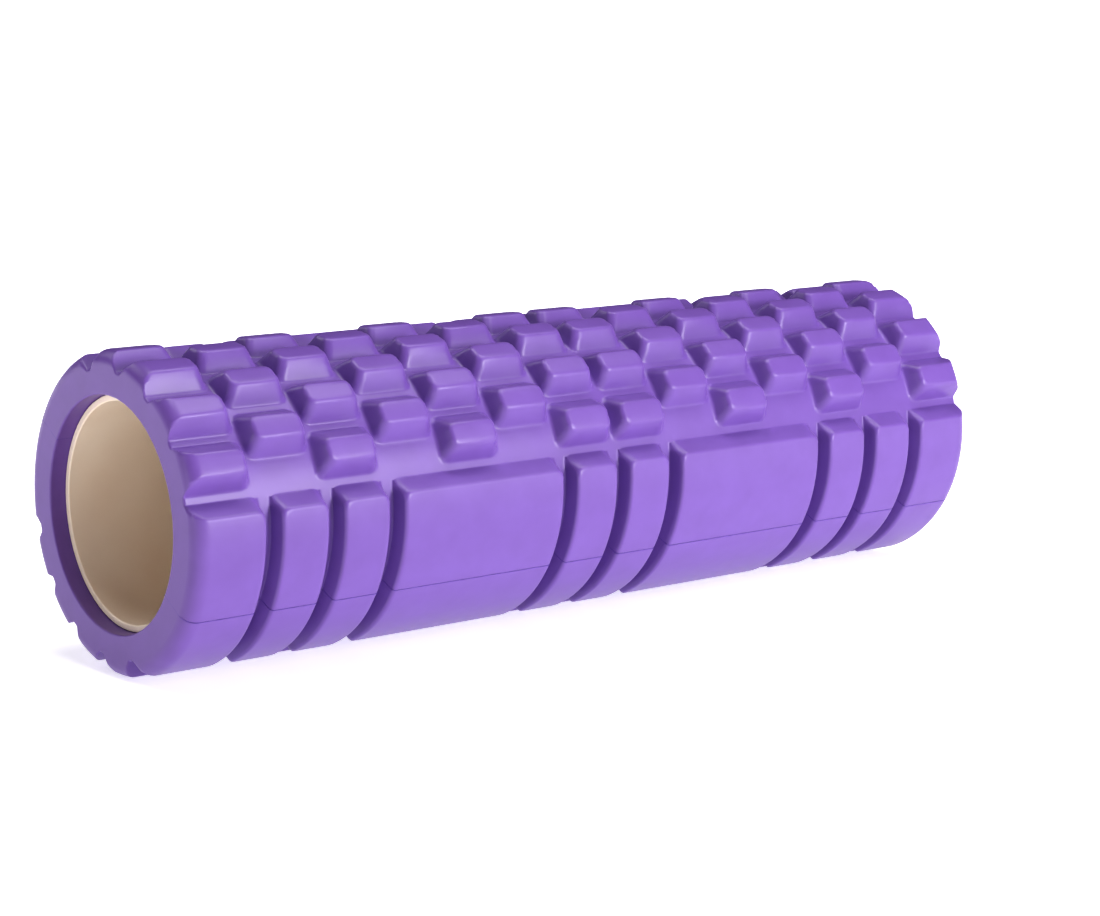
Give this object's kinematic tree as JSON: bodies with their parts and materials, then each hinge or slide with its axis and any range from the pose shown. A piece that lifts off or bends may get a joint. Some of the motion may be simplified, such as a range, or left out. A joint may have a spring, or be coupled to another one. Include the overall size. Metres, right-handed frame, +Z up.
{
  "type": "foam roller",
  "caption": "Massage foam roller with a rigid core tube inside a foam sleeve of staggered tapered lugs and smooth grooved panels.",
  "frame": {"origin": "under the middle of the roller, on the surface that it lies on", "axes": "+X along the roller's axis, +Z up; the two seams lie at the front below the axis and at the rear above it"},
  "size_m": [0.45, 0.14, 0.14],
  "materials": {
    "core_plastic": "extruded ABS tube, cream, satin",
    "foam": "moulded closed-cell EVA foam, lilac purple, satin skin",
    "glue": "cured contact adhesive, dark violet film"
  },
  "bodies": {
    "root": {"core_tube": "core_plastic", "tube_glue_film": "glue", "foam_half_upper": "foam", "foam_half_lower": "foam", "seam_glue_rear": "glue", "seam_glue_front": "glue"}
  },
  "joints": []
}
